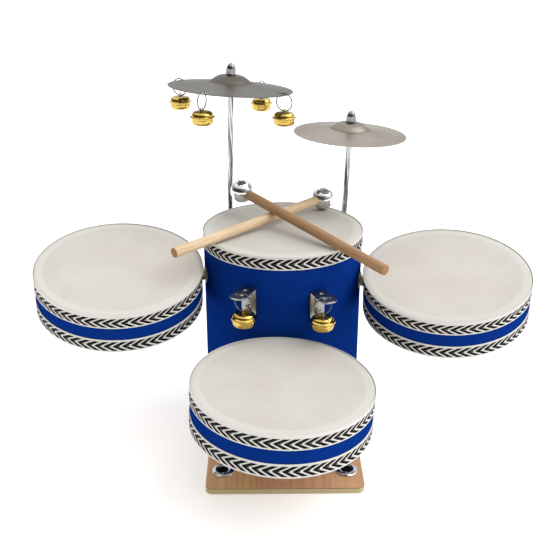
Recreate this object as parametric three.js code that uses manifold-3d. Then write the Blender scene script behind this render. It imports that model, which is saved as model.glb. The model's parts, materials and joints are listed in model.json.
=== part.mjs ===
// A small tabletop drum kit. One tall drum stands on a board, three shallow drums hang round it on
// bolts, two cymbals stand behind it on rods, and jingle bells hang on rings from the left cymbal and
// from two angle brackets. Two mallets lie crossed on the tall drum.
// Millimetres, +Z up, +X to the player's right, -Y towards the player. The origin is the point of the
// board's underside that lies on the tall drum's axis.
import * as THREE from 'three';
import Module from 'manifold-3d';
import { mergeVertices } from 'three/addons/utils/BufferGeometryUtils.js';

const wasm = await Module();
wasm.setup();

// Straight sides that stand for a full turn on each round piece
const SIDES = { eyelet: 16, bolt: 10, washer: 16, rod: 10, acorn: 12, felt: 14, ball: 14, stick: 12 };

// Fits
const CLEARANCE = 0.3;
const BOLT_HOLE_PLAY = 0.4;

// Board and its eyelets
const BOARD = { width: 150, front: -155, back: 95, thick: 6.5, corner: 7 };
const EYELET = { x: 59.5, y: -127.5, bore: 5.3, barrel: 7.2, flange: 10.75 };
// The eyelet's rolled lip from its rim inwards, as [radius, height above the board]
const EYELET_LIP = [[10.75, 0.7], [9, 1.7], [7, 2.2], [5.7, 1.6]];

// Drums: one radius for all four
const DRUM_RADIUS = 80;
const DRUM_SIDES = 30;
const WALL_THICK = 5;
const COVER_THICK = 0.5;
const SKIN_THICK = 0.8;
const RIBBON_WIDTH = 13.5;
const RIBBON_THICK = 0.5;
const CENTRE_TOP = 209;
const SHALLOW_HEIGHT = 40;
const DRUM_GAP = 6;

// Each hung drum: the way its bolt points, the bolt's height, the turn about the bolt, and the sag of
// its outer edge, in degrees and millimetres
const HUNG_DRUMS = [
  { side: 'left', azimuth: 195.6, height: 167.9, turn: -11.5, sag: 0 },
  { side: 'right', azimuth: -16.6, height: 161, turn: 11.5, sag: 0 },
  { side: 'front', azimuth: -91.3, height: 108.9, turn: -2.5, sag: 1 },
];

// M6 fasteners
const BOLT_RADIUS = 3;
const HEX_ACROSS_FLATS = 10;
const BOLT_HEAD_THICK = 4;
const WASHER = { radius: 8.5, thick: 1.2 };
const SPACER_NUT_THICK = 3.5;
const BOLT_TAIL = 8;

// Angle brackets: two in front carry bells, two behind carry the cymbal rods
const BRACKET = { leg: 30, drop: 31, width: 15, thick: 1.6, holeAt: 9.5, slotAt: 21, hole: 2.2 };
const BRACKET_CORNERS = { leg: 4.5, drop: 3 };
const BRACKET_SLOT = { length: 9, width: 4.2 };
const ROD_FROM_WALL = 17;
const BELL_BRACKETS = [
  { side: 'left', azimuth: -114.3, top: 176.8, inward: 1 },
  { side: 'right', azimuth: -67.2, top: 173.3, inward: -1 },
];

// Cymbal stands: place of the rod's foot bracket, lean to the right, distance up the rod to the
// cymbal's pivot, and the cymbal's radius and tilt
const STAND_BRACKET_TOP = 177;
const STANDS = [
  { side: 'left', azimuth: 125.9, lean: 1.6, pivot: 166.5, radius: 65, tilt: 3.8, tiltBack: 3.2 },
  { side: 'right', azimuth: 46.2, lean: 2.2, pivot: 118.8, radius: 59, tilt: 2.7, tiltBack: 1 },
];
const ROD_RADIUS = 3;
const ROD_BELOW_BRACKET = 14;
const COLLAR = { radius: 5, thick: 4, drop: 0.7 };
const FELT = { bore: 3.7, radius: 7.5, thick: 3 };
const CYMBAL_THICK = 1;
const CYMBAL_BORE = 3.9;
const CYMBAL_SIDES = 24;
const CROWN_RADIUS = 8;
const DOME_RADIUS_SHARE = 0.34;
const DOME_TOP_SHARE = 0.2;
const DOME_FOOT_SHARE = 0.086;
const ACORN = { gap: 0.9, height: 11, bore: 3.3, boreDepth: 6, radius: 5.4 };
// The acorn nut's outside above its foot, as [radius, height]
const ACORN_DOME = [[5.4, 5], [4.3, 6.5], [3.6, 9.2], [2, 10.6]];

// Jingle bells: ring radius and wire to its centre line, and the bell below it
const RING = { radius: 8.85, wire: 0.65, sides: 16 };
const RING_BELOW_RIM = 7.2;
const RING_BELOW_BRACKET = 7.3;
const RING_SIDE_SHIFT = 4.2;
const RIM_HOLE = { radius: 3.1, inset: 6.15 };
const RIM_STRIP_INSET = 1.5;
const RIM_BELL_ANGLES = [151, 246, 60, -30];
const BELL = { height: 13.8, sides: 10 };
// The bell's outside from its top to its foot, as [radius, height]. Its widest part is the flange
const BELL_PROFILE = [
  [0, 0],
  [7.6, -0.3],
  [9.9, -1.6],
  [10.7, -4.6],
  [12.3, -5.1],
  [12.3, -6],
  [10.7, -6.4],
  [10.6, -10.9],
  [8.4, 0.7 - BELL.height],
  [0, -BELL.height],
];
const EYE = { radius: 1.95, wire: 0.6, rise: 1 };

// Mallets: the ball's centre, the way the stick points from it and how far it drops on the way
const MALLET = { ball: 12, stick: 5, length: 198, socket: 6, chamfer: 0.8, ballSteps: 8 };
const MALLETS = [
  { name: 'lower', x: 43.5, y: 56.9, z: 221.3, azimuth: -137.3, drop: 2.5 },
  { name: 'upper', x: -41.6, y: 39.1, z: 235.1, azimuth: -47.7, drop: 8.4 },
];

const FINISHES = {
  board: { color: 0xc89a6c, roughness: 0.5, metalness: 0 },
  shell: { color: 0xcdb48c, roughness: 0.8, metalness: 0 },
  skin: { color: 0xe8e4da, roughness: 0.6, metalness: 0 },
  cover: { color: 0x12409c, roughness: 0.6, metalness: 0 },
  ribbon: { color: 0xb9b9b6, roughness: 0.8, metalness: 0 },
  steel: { color: 0x9fa3a6, roughness: 0.35, metalness: 1 },
  chrome: { color: 0xd9dcdf, roughness: 0.1, metalness: 1 },
  cymbal: { color: 0x8f8983, roughness: 0.4, metalness: 1 },
  brass: { color: 0xc9a13b, roughness: 0.2, metalness: 1 },
  felt: { color: 0x4a4a4c, roughness: 0.95, metalness: 0 },
  stick: { color: 0xdcb98a, roughness: 0.6, metalness: 0 },
};

const radians = THREE.MathUtils.degToRad;
const kit = new THREE.Group();

// Geometry helpers -----------------------------------------------------------

// One closed body with shared corners and every face pointing out.
function closed(geometry) {
  const bare = geometry.clone();
  bare.deleteAttribute('normal');
  bare.deleteAttribute('uv');
  const merged = mergeVertices(bare, 1e-4);
  const at = merged.getAttribute('position');
  const corners = [];
  const a = new THREE.Vector3();
  const b = new THREE.Vector3();
  const c = new THREE.Vector3();
  let volume = 0;
  for (let i = 0; i < merged.index.count; i += 3) {
    const [p, q, r] = [0, 1, 2].map((k) => merged.index.getX(i + k));
    if (p === q || q === r || r === p) continue;
    a.fromBufferAttribute(at, p);
    b.fromBufferAttribute(at, q);
    c.fromBufferAttribute(at, r);
    volume += a.dot(b.cross(c));
    corners.push([p, q, r]);
  }
  if (volume < 0) corners.forEach((corner) => corner.reverse());
  merged.setIndex(corners.flat());
  return merged;
}

function solid(geometry) {
  const body = closed(geometry);
  return new wasm.Manifold(new wasm.Mesh({
    numProp: 3,
    vertProperties: new Float32Array(body.getAttribute('position').array),
    triVerts: new Uint32Array(body.index.array),
  }));
}

function fromSolid(body) {
  const mesh = body.getMesh();
  const geometry = new THREE.BufferGeometry();
  geometry.setAttribute('position', new THREE.BufferAttribute(mesh.vertProperties, 3));
  geometry.setIndex(new THREE.BufferAttribute(mesh.triVerts, 1));
  return geometry;
}

const cut = (body, tools) => fromSolid(tools.reduce((rest, tool) => rest.subtract(solid(tool)), solid(body)));
const join = (first, second) => fromSolid(solid(first).add(solid(second)));

// A turned body about +Z from [radius, height] points.
function turned(points, sides) {
  const profile = points.map(([radius, height]) => new THREE.Vector2(radius, height));
  return new THREE.LatheGeometry(profile, sides).rotateX(Math.PI / 2);
}

function ring(inner, outer, bottom, top, sides) {
  const section = [[inner, bottom], [outer, bottom], [outer, top], [inner, top], [inner, bottom]];
  return turned(section, sides);
}

function disc(radius, bottom, top, sides) {
  return turned([[0, bottom], [radius, bottom], [radius, top], [0, top]], sides);
}

const alongX = (geometry) => geometry.rotateY(Math.PI / 2);

function roundedPlate(x0, x1, y0, y1, thick, corners, holes) {
  const [nearCorner, farCorner] = corners;
  const shape = new THREE.Shape();
  shape.moveTo(x0 + nearCorner, y0);
  shape.lineTo(x1 - farCorner, y0);
  shape.absarc(x1 - farCorner, y0 + farCorner, farCorner, -Math.PI / 2, 0);
  shape.absarc(x1 - farCorner, y1 - farCorner, farCorner, 0, Math.PI / 2);
  shape.lineTo(x0 + nearCorner, y1);
  if (nearCorner > 0) {
    shape.absarc(x0 + nearCorner, y1 - nearCorner, nearCorner, Math.PI / 2, Math.PI);
    shape.absarc(x0 + nearCorner, y0 + nearCorner, nearCorner, Math.PI, Math.PI * 1.5);
  }
  shape.holes.push(...holes);
  return new THREE.ExtrudeGeometry(shape, { depth: thick, bevelEnabled: false, curveSegments: 3 });
}

function roundHole(x, y, radius) {
  const path = new THREE.Path();
  path.absarc(x, y, radius, 0, Math.PI, false);
  path.absarc(x, y, radius, Math.PI, Math.PI * 2, false);
  return path;
}

// A slot whose long side runs along Y.
function crossSlot(x, { length, width }) {
  const radius = width / 2;
  const reach = length / 2 - radius;
  const path = new THREE.Path();
  path.absarc(x, reach, radius, 0, Math.PI, false);
  path.absarc(x, -reach, radius, Math.PI, Math.PI * 2, false);
  return path;
}

function hexNut(acrossFlats, thick, bore) {
  const corner = acrossFlats / Math.sqrt(3);
  const shape = new THREE.Shape();
  for (let i = 0; i < 6; i += 1) {
    const angle = (i * Math.PI) / 3;
    shape[i === 0 ? 'moveTo' : 'lineTo'](corner * Math.cos(angle), corner * Math.sin(angle));
  }
  if (bore > 0) shape.holes.push(roundHole(0, 0, bore));
  return new THREE.ExtrudeGeometry(shape, { depth: thick, bevelEnabled: false, curveSegments: 5 });
}

function add(parent, name, geometry, finish) {
  const body = closed(geometry);
  body.computeVertexNormals();
  const material = new THREE.MeshStandardMaterial({ ...FINISHES[finish], flatShading: true });
  const mesh = new THREE.Mesh(body, material);
  mesh.name = name;
  parent.add(mesh);
}

function frameAt(parent, x, y, z, turnX = 0, turnY = 0, turnZ = 0, order = 'XYZ') {
  const frame = new THREE.Group();
  frame.position.set(x, y, z);
  frame.rotation.set(radians(turnX), radians(turnY), radians(turnZ), order);
  parent.add(frame);
  return frame;
}

// Board ----------------------------------------------------------------------

function addBoard() {
  const half = BOARD.width / 2;
  const corners = [BOARD.corner, BOARD.corner];
  const holes = [-1, 1].map((side) => roundHole(side * EYELET.x, EYELET.y, EYELET.barrel + CLEARANCE));
  const plate = roundedPlate(-half, half, BOARD.front, BOARD.back, BOARD.thick, corners, holes);
  add(kit, 'base_board', plate, 'board');
  const bottom = -BOARD.thick + CLEARANCE;
  const section = [
    [EYELET.bore, bottom],
    [EYELET.barrel, bottom],
    [EYELET.barrel, CLEARANCE],
    [EYELET.flange, CLEARANCE],
    ...EYELET_LIP,
    [EYELET.bore, bottom],
  ];
  for (const [side, sign] of [['left', -1], ['right', 1]]) {
    const place = frameAt(kit, sign * EYELET.x, EYELET.y, BOARD.thick);
    add(place, `eyelet_${side}`, turned(section, SIDES.eyelet), 'chrome');
  }
}

// Drums ----------------------------------------------------------------------

// A hole for a bolt, through the wall on the side that the azimuth gives.
function wallHole(azimuth, height) {
  const hole = alongX(disc(BOLT_RADIUS + BOLT_HOLE_PLAY, 0, DRUM_RADIUS, SIDES.bolt));
  return hole.translate(DRUM_RADIUS / 2, 0, height).rotateZ(radians(azimuth));
}

// The origin is the middle of the head. The wall runs down from it.
function addDrum(parent, name, height, holes) {
  const coverInner = DRUM_RADIUS - COVER_THICK;
  const shellOuter = coverInner - CLEARANCE;
  const wallTop = -SKIN_THICK - CLEARANCE;
  const tools = holes.map(({ azimuth, below }) => wallHole(azimuth, -below));
  const shell = ring(shellOuter - WALL_THICK, shellOuter, -height, wallTop, DRUM_SIDES);
  add(parent, `${name}_shell`, cut(shell, tools), 'shell');
  const cover = ring(coverInner, DRUM_RADIUS, -height, wallTop, DRUM_SIDES);
  add(parent, `${name}_cover`, cut(cover, tools), 'cover');
  add(parent, `${name}_skin`, disc(DRUM_RADIUS, -SKIN_THICK, 0, DRUM_SIDES), 'skin');
  const inner = DRUM_RADIUS + CLEARANCE;
  const outer = inner + RIBBON_THICK;
  for (const [edge, top] of [['top', CLEARANCE], ['bottom', RIBBON_WIDTH - height]]) {
    const band = ring(inner, outer, top - RIBBON_WIDTH, top, DRUM_SIDES);
    add(parent, `${name}_ribbon_${edge}`, band, 'ribbon');
  }
}

function addCentreDrum() {
  const foot = BOARD.thick + CLEARANCE;
  const holes = HUNG_DRUMS.map(({ azimuth, height }) => ({ azimuth, below: CENTRE_TOP - height }));
  addDrum(frameAt(kit, 0, 0, CENTRE_TOP), 'centre', CENTRE_TOP - foot, holes);
}

function addHungDrum({ side, azimuth, height, turn, sag }) {
  const bolt = frameAt(kit, 0, 0, height, 0, 0, azimuth);
  const wall = frameAt(bolt, DRUM_RADIUS + DRUM_GAP, 0, 0, turn, sag);
  const head = frameAt(wall, DRUM_RADIUS, 0, SHALLOW_HEIGHT / 2);
  addDrum(head, side, SHALLOW_HEIGHT, [{ azimuth: 180, below: SHALLOW_HEIGHT / 2 }]);

  const washerAt = DRUM_RADIUS + CLEARANCE;
  const bore = BOLT_RADIUS + CLEARANCE;
  const washer = ring(bore, WASHER.radius, washerAt, washerAt + WASHER.thick, SIDES.washer);
  add(bolt, `${side}_pivot_washer`, alongX(washer), 'steel');
  const nutAt = washerAt + WASHER.thick + CLEARANCE;
  const nut = hexNut(HEX_ACROSS_FLATS, SPACER_NUT_THICK, bore).translate(0, 0, nutAt);
  add(bolt, `${side}_pivot_spacer_nut`, alongX(nut), 'brass');

  const innerWall = DRUM_RADIUS - COVER_THICK - CLEARANCE - WALL_THICK;
  const headAt = DRUM_RADIUS + DRUM_GAP + DRUM_RADIUS - innerWall + 2 * CLEARANCE;
  const tail = innerWall - BOLT_TAIL;
  const shank = disc(BOLT_RADIUS, tail, headAt + 1, SIDES.bolt);
  const hexHead = hexNut(HEX_ACROSS_FLATS, BOLT_HEAD_THICK, 0).translate(0, 0, headAt);
  add(bolt, `${side}_pivot_bolt`, alongX(join(shank, hexHead)), 'steel');
}

// Brackets -------------------------------------------------------------------

// The origin is the top of the bend, against the wall. X points away from the wall.
function bracket(legHoles) {
  const half = BRACKET.width / 2;
  const leg = roundedPlate(0, BRACKET.leg, -half, half, BRACKET.thick, [0, BRACKET_CORNERS.leg], legHoles);
  leg.translate(0, 0, -BRACKET.thick);
  const screw = [roundHole(BRACKET.drop - BRACKET.holeAt, 0, BRACKET.hole)];
  const plate = roundedPlate(0, BRACKET.drop, -half, half, BRACKET.thick, [0, BRACKET_CORNERS.drop], screw);
  return join(leg, plate.rotateY(Math.PI / 2));
}

function bracketFrame(azimuth, top) {
  const spin = frameAt(kit, 0, 0, top, 0, 0, azimuth);
  return frameAt(spin, DRUM_RADIUS + CLEARANCE, 0, 0);
}

// Jingle bells ---------------------------------------------------------------

function bellBody() {
  const eye = new THREE.TorusGeometry(EYE.radius, EYE.wire, 5, 10);
  return join(turned(BELL_PROFILE, BELL.sides), eye.rotateY(Math.PI / 2).translate(0, 0, EYE.rise));
}

// A ring in a vertical plane that holds the azimuth's direction, centred on the point, with its bell.
function addJingle(name, centre, azimuth) {
  const place = frameAt(kit, centre.x, centre.y, centre.z, 0, 0, azimuth);
  const wire = new THREE.TorusGeometry(RING.radius, RING.wire, 6, RING.sides);
  add(place, `${name}_ring`, wire.rotateX(Math.PI / 2), 'steel');
  const hang = frameAt(place, 0, 0, -RING.radius - EYE.rise);
  add(hang, `${name}_bell`, bellBody(), 'brass');
}

function addBellBracket({ side, azimuth, top, inward }) {
  const slot = crossSlot(BRACKET.slotAt, BRACKET_SLOT);
  const holes = [roundHole(BRACKET.holeAt, 0, BRACKET.hole), slot];
  const frame = bracketFrame(azimuth, top);
  add(frame, `bell_bracket_${side}`, bracket(holes), 'steel');
  const hung = new THREE.Vector3(BRACKET.slotAt, inward * RING_SIDE_SHIFT, -RING_BELOW_BRACKET);
  frame.updateWorldMatrix(true, false);
  addJingle(`bracket_jingle_${side}`, frame.localToWorld(hung), azimuth + 90);
}

// Cymbal stands --------------------------------------------------------------

// Height of the cymbal's top surface above its rim.
function cymbalHeight(radius, cymbalRadius) {
  const domeRadius = DOME_RADIUS_SHARE * cymbalRadius;
  const foot = DOME_FOOT_SHARE * cymbalRadius;
  if (radius > domeRadius) {
    const out = (radius - domeRadius) / (cymbalRadius - domeRadius);
    return foot * (1 - out) * (1 - 0.25 * out);
  }
  const rise = DOME_TOP_SHARE * cymbalRadius - foot;
  const past = Math.max(0, radius - CROWN_RADIUS) / (domeRadius - CROWN_RADIUS);
  return foot + rise * Math.cos((Math.PI * past) / 2);
}

function cymbal(radius) {
  const dome = DOME_RADIUS_SHARE * radius;
  const middle = (CROWN_RADIUS + dome) / 2;
  const radii = [CYMBAL_BORE, CROWN_RADIUS, middle, dome, (dome + radius) / 2, radius];
  const top = radii.map((r) => [r, cymbalHeight(r, radius)]);
  const under = top.map(([r, height]) => [r, height - CYMBAL_THICK]).reverse();
  return turned([...under, ...top, under[0]], CYMBAL_SIDES);
}

function addStand({ side, azimuth, lean, pivot, radius, tilt, tiltBack }) {
  const rodHole = roundHole(ROD_FROM_WALL, 0, ROD_RADIUS + BOLT_HOLE_PLAY);
  const frame = bracketFrame(azimuth, STAND_BRACKET_TOP);
  add(frame, `stand_bracket_${side}`, bracket([rodHole]), 'steel');

  frame.updateWorldMatrix(true, false);
  const foot = frame.localToWorld(new THREE.Vector3(ROD_FROM_WALL, 0, 0));
  const rod = frameAt(kit, foot.x, foot.y, foot.z, 0, lean);
  const nutAt = pivot + FELT.thick + CLEARANCE + CYMBAL_THICK + ACORN.gap;
  const rodTop = nutAt + ACORN.boreDepth - CLEARANCE;
  const collarTop = pivot - COLLAR.drop;
  const rodSection = [
    [0, -ROD_BELOW_BRACKET],
    [ROD_RADIUS, -ROD_BELOW_BRACKET],
    [ROD_RADIUS, collarTop - COLLAR.thick],
    [COLLAR.radius, collarTop - COLLAR.thick],
    [COLLAR.radius, collarTop],
    [ROD_RADIUS, collarTop],
    [ROD_RADIUS, rodTop],
    [0, rodTop],
  ];
  add(rod, `${side}_stand_rod`, turned(rodSection, SIDES.rod), 'chrome');
  const nutSection = [
    [0, ACORN.boreDepth],
    [ACORN.bore, ACORN.boreDepth],
    [ACORN.bore, 0],
    [ACORN.radius, 0],
    ...ACORN_DOME,
    [0, ACORN.height],
  ];
  const nut = turned(nutSection, SIDES.acorn).translate(0, 0, nutAt);
  add(rod, `${side}_acorn_nut`, nut, 'chrome');

  const tilted = frameAt(rod, 0, 0, pivot, -tiltBack, tilt - lean);
  add(tilted, `${side}_felt_washer`, ring(FELT.bore, FELT.radius, 0, FELT.thick, SIDES.felt), 'felt');
  const plane = frameAt(tilted, 0, 0, FELT.thick + CLEARANCE + CYMBAL_THICK - cymbalHeight(0, radius));
  return { plane, radius, side };
}

function addCymbal({ plane, radius, side }, bellAngles) {
  const holes = bellAngles.map((angle) => {
    const hole = disc(RIM_HOLE.radius, -5, 10, 10);
    return hole.translate(radius - RIM_HOLE.inset, 0, 0).rotateZ(radians(angle));
  });
  add(plane, `${side}_cymbal`, cut(cymbal(radius), holes), 'cymbal');
  plane.updateWorldMatrix(true, false);
  const strip = radius - RIM_STRIP_INSET;
  bellAngles.forEach((angle, i) => {
    const out = new THREE.Vector3(strip, 0, 0).applyAxisAngle(new THREE.Vector3(0, 0, 1), radians(angle));
    out.z = cymbalHeight(strip, radius);
    const centre = plane.localToWorld(out);
    centre.z -= RING_BELOW_RIM;
    addJingle(`cymbal_jingle_${i + 1}`, centre, angle);
  });
}

// Mallets --------------------------------------------------------------------

function addMallet({ name, x, y, z, azimuth, drop }) {
  const place = frameAt(kit, x, y, z, 0, drop, azimuth, 'ZYX');
  const { ball, stick, length, socket, chamfer } = MALLET;
  const mouth = Math.sqrt(ball ** 2 - (stick + CLEARANCE) ** 2);
  const arc = [];
  const start = Math.asin((stick + CLEARANCE) / ball);
  for (let i = 0; i <= MALLET.ballSteps; i += 1) {
    const angle = start + ((Math.PI - start) * i) / MALLET.ballSteps;
    arc.push([i === MALLET.ballSteps ? 0 : ball * Math.sin(angle), ball * Math.cos(angle)]);
  }
  const socketFloor = mouth - socket;
  const ballSection = [[0, socketFloor], [stick + CLEARANCE, socketFloor], ...arc];
  add(place, `${name}_mallet_ball`, alongX(turned(ballSection, SIDES.ball)), 'chrome');
  const stickStart = socketFloor + CLEARANCE;
  const stickSection = [
    [0, stickStart],
    [stick, stickStart],
    [stick, length - chamfer],
    [stick - chamfer, length],
    [0, length],
  ];
  add(place, `${name}_mallet_stick`, alongX(turned(stickSection, SIDES.stick)), 'stick');
}

// The kit --------------------------------------------------------------------

addBoard();
addCentreDrum();
HUNG_DRUMS.forEach(addHungDrum);
BELL_BRACKETS.forEach(addBellBracket);
const [leftStand, rightStand] = STANDS.map(addStand);
addCymbal(leftStand, RIM_BELL_ANGLES);
addCymbal(rightStand, []);
MALLETS.forEach(addMallet);

export default kit;
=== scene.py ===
# %% [markdown]
# # A small tabletop drum kit
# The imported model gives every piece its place. Each cell below takes one kind of piece, says what it
# is on the real kit, and builds it from bmesh operators in the piece's own frame, in millimetres.
# The finished mesh is then moved to its place in metres.

# %% Load the frame
import bmesh
import bpy
import json
from math import asin, atan2, cos, degrees, pi, radians, sin, sqrt, tau

import numpy as np
from mathutils import Matrix, Vector


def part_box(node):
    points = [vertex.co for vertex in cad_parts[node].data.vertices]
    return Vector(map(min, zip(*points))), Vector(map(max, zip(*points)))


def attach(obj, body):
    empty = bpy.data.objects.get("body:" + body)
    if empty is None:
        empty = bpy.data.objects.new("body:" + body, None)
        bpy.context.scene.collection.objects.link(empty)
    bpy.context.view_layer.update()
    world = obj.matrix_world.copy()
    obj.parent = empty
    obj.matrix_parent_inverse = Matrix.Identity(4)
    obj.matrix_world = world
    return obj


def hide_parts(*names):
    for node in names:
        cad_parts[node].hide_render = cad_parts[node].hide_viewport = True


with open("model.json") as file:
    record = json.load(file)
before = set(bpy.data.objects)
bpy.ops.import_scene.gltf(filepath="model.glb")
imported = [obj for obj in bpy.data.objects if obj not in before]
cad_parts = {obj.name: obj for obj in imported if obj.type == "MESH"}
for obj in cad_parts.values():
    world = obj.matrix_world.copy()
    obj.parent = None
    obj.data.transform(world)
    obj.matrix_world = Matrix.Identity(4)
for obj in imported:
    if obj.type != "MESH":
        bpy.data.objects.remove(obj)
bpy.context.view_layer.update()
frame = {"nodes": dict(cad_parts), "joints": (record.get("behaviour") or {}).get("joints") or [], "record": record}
joints = {joint["name"]: joint for joint in frame["joints"]}
body_of = {n: b for b, ns in frame["record"]["behaviour"]["bodies"].items() for n in ns}
slot_of = {s["node"]: s["material_slot"] for s in frame["record"]["subparts"]}
UP = Vector((0, 0, 1))

# %% [markdown]
# ## Frames
# A piece is easiest to shape upright at the origin. A frame says where that origin lies and which way
# its X and Z point. Joint axes come from the record. A flat or long node's own axis comes from its
# corners: the direction in which they spread least or most.

# %% Frames from the record and from nodes


def basis(origin, x, z):
    """Z is kept, X is squared to it."""
    z = Vector(z).normalized()
    x = Vector(x)
    x = (x - z * x.dot(z)).normalized()
    turn = Matrix((x, z.cross(x), z)).transposed().to_4x4()
    return Matrix.Translation(origin) @ turn @ Matrix.Scale(0.001, 4)


def corners(node):
    return np.array([v.co for v in frame["nodes"][node].data.vertices], float)


def spread_axis(node, longest, towards=UP):
    points = corners(node)
    _, directions = np.linalg.eigh(np.cov((points - points.mean(0)).T))
    axis = Vector(directions[:, -1 if longest else 0])
    return axis if axis.dot(Vector(towards)) > 0 else -axis


def middle(node):
    low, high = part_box(node)
    return (low + high) / 2


def reach(node, origin, axis):
    """How far a node lies along an axis from a point: nearest and farthest, in millimetres."""
    along = (corners(node) - np.array(origin)) @ np.array(axis) * 1000
    return along.min(), along.max()


# %% [markdown]
# ## Modelling helpers
# Sharp edges are then bevelled, because a real edge always catches a thin line of light. Holes are
# cut with a Boolean that is applied at once, so no modifier is left on the finished mesh.

# %% Modelling helpers
SHARP = radians(30)


def soften(bm, width, segments=2, angle=SHARP):
    edges = [e for e in bm.edges if len(e.link_faces) == 2 and e.calc_face_angle(0) > angle]
    bmesh.ops.bevel(bm, geom=edges, offset=width, segments=segments, profile=0.5, affect="EDGES",
                    material=-1, clamp_overlap=True)


def turned(profile, steps, bevel=0.0):
    """A closed body of revolution from [radius, height] points."""
    bm = bmesh.new()
    verts = [bm.verts.new((radius, 0, height)) for radius, height in profile]
    edges = [bm.edges.new(pair) for pair in zip(verts, verts[1:])]
    if profile[0][0] > 0:
        edges.append(bm.edges.new((verts[-1], verts[0])))
    bmesh.ops.spin(bm, geom=verts + edges, cent=(0, 0, 0), axis=(0, 0, 1), angle=tau, steps=steps,
                   use_merge=True)
    bmesh.ops.remove_doubles(bm, verts=bm.verts, dist=1e-4)
    bmesh.ops.recalc_face_normals(bm, faces=bm.faces)
    if bevel:
        soften(bm, bevel)
    return bm


def prism(sides, radius, thick, bevel=0.0):
    """An upright prism with its foot at zero, such as a nut's outside."""
    bm = bmesh.new()
    bmesh.ops.create_cone(bm, cap_ends=True, segments=sides, radius1=radius, radius2=radius,
                          depth=thick, matrix=Matrix.Translation((0, 0, thick / 2)))
    if bevel:
        soften(bm, bevel)
    return bm


def hoop(radius, wire, steps, sides, gap=0.0):
    """A wire ring standing in the XZ plane, closed, or open by a small gap with capped ends."""
    bm = bmesh.new()
    bmesh.ops.create_circle(bm, segments=sides, radius=wire, cap_ends=gap > 0,
                            matrix=Matrix.Translation((radius, 0, 0)))
    bmesh.ops.spin(bm, geom=bm.verts[:] + bm.edges[:] + bm.faces[:], cent=(0, 0, 0), axis=(0, 1, 0),
                   angle=tau - gap, steps=steps, use_merge=gap == 0)
    bmesh.ops.remove_doubles(bm, verts=bm.verts, dist=1e-4)
    bmesh.ops.recalc_face_normals(bm, faces=bm.faces)
    return bm


def to_object(bm, name):
    mesh = bpy.data.meshes.new(name)
    bm.to_mesh(mesh)
    bm.free()
    made = bpy.data.objects.new(name, mesh)
    bpy.context.scene.collection.objects.link(made)
    return made


def boolean(piece, tools, operation="DIFFERENCE"):
    """Cuts with, or joins on, each bmesh tool, and keeps the plain result."""
    for tool in tools:
        other = to_object(tool, "tool")
        change = piece.modifiers.new("change", "BOOLEAN")
        change.operation = operation
        change.solver = "EXACT"
        change.object = other
        graph = bpy.context.evaluated_depsgraph_get()
        result = bpy.data.meshes.new_from_object(piece.evaluated_get(graph))
        piece.modifiers.clear()
        piece.data = result
        bpy.data.objects.remove(other)
    return piece


def rod_tool(x, y, radius, low, high, sides=32):
    bm = prism(sides, radius, high - low)
    bmesh.ops.translate(bm, verts=bm.verts, vec=(x, y, low))
    return bm


finishes = {}
made_pieces = []


def place(piece, matrix, slot, body, *nodes):
    mesh = piece.data
    own = mesh.attributes.new("place", "FLOAT_VECTOR", "POINT")
    own.data.foreach_set("vector", [c for v in mesh.vertices for c in v.co])
    mesh.polygons.foreach_set("use_smooth", [True] * len(mesh.polygons))
    mesh.set_sharp_from_angle(angle=SHARP)
    mesh.transform(matrix)
    mesh.materials.clear()
    mesh.materials.append(finishes[slot])
    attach(piece, body)
    if nodes:
        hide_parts(*nodes)
    made_pieces.append(piece.name)
    return piece


def refinish(piece, finish):
    """Gives a piece a finish that differs from its slot's usual one."""
    piece.data.materials.clear()
    piece.data.materials.append(finishes[finish])


def stand_for(node, piece, matrix):
    """A piece, or the bmesh for one, that takes over a node's slot, body and place."""
    if isinstance(piece, bmesh.types.BMesh):
        piece = to_object(piece, node + "_shape")
    return place(piece, matrix, slot_of[node], body_of[node], node)


# %% [markdown]
# ## Shader arithmetic
# A pattern is a sum over a surface. Wrapping a socket in a small class lets that sum be written as
# one Python line, and each operator adds the Math node it stands for.

# %% Shader arithmetic


class Sum:
    def __init__(self, finish, socket):
        self.finish, self.socket = finish, socket

    def math(self, operation, *values):
        return Sum(self.finish, self.finish.node("ShaderNodeMath", {"operation": operation},
                                                 {i: v for i, v in enumerate(values)}).outputs[0])

    def __add__(self, other): return self.math("ADD", self, other)
    def __radd__(self, other): return self.math("ADD", other, self)
    def __sub__(self, other): return self.math("SUBTRACT", self, other)
    def __rsub__(self, other): return self.math("SUBTRACT", other, self)
    def __mul__(self, other): return self.math("MULTIPLY", self, other)
    def __rmul__(self, other): return self.math("MULTIPLY", other, self)
    def __truediv__(self, other): return self.math("DIVIDE", self, other)
    def __gt__(self, other): return self.math("GREATER_THAN", self, other)
    def __lt__(self, other): return self.math("LESS_THAN", self, other)
    def __pow__(self, other): return self.math("POWER", self, other)
    def __abs__(self): return self.math("ABSOLUTE", self)
    def wave(self): return self.math("SINE", self)
    def floor(self): return self.math("FLOOR", self)
    def fraction(self): return self.math("FRACT", self)
    def root(self): return self.math("SQRT", self)
    def most(self, other): return self.math("MAXIMUM", self, other)

    def ease(self, low, high):
        """0 below low, 1 above high."""
        return Sum(self.finish, self.finish.node("ShaderNodeMapRange",
                   {"interpolation_type": "SMOOTHSTEP"}, {0: self, 1: low, 2: high}).outputs[0])


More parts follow.
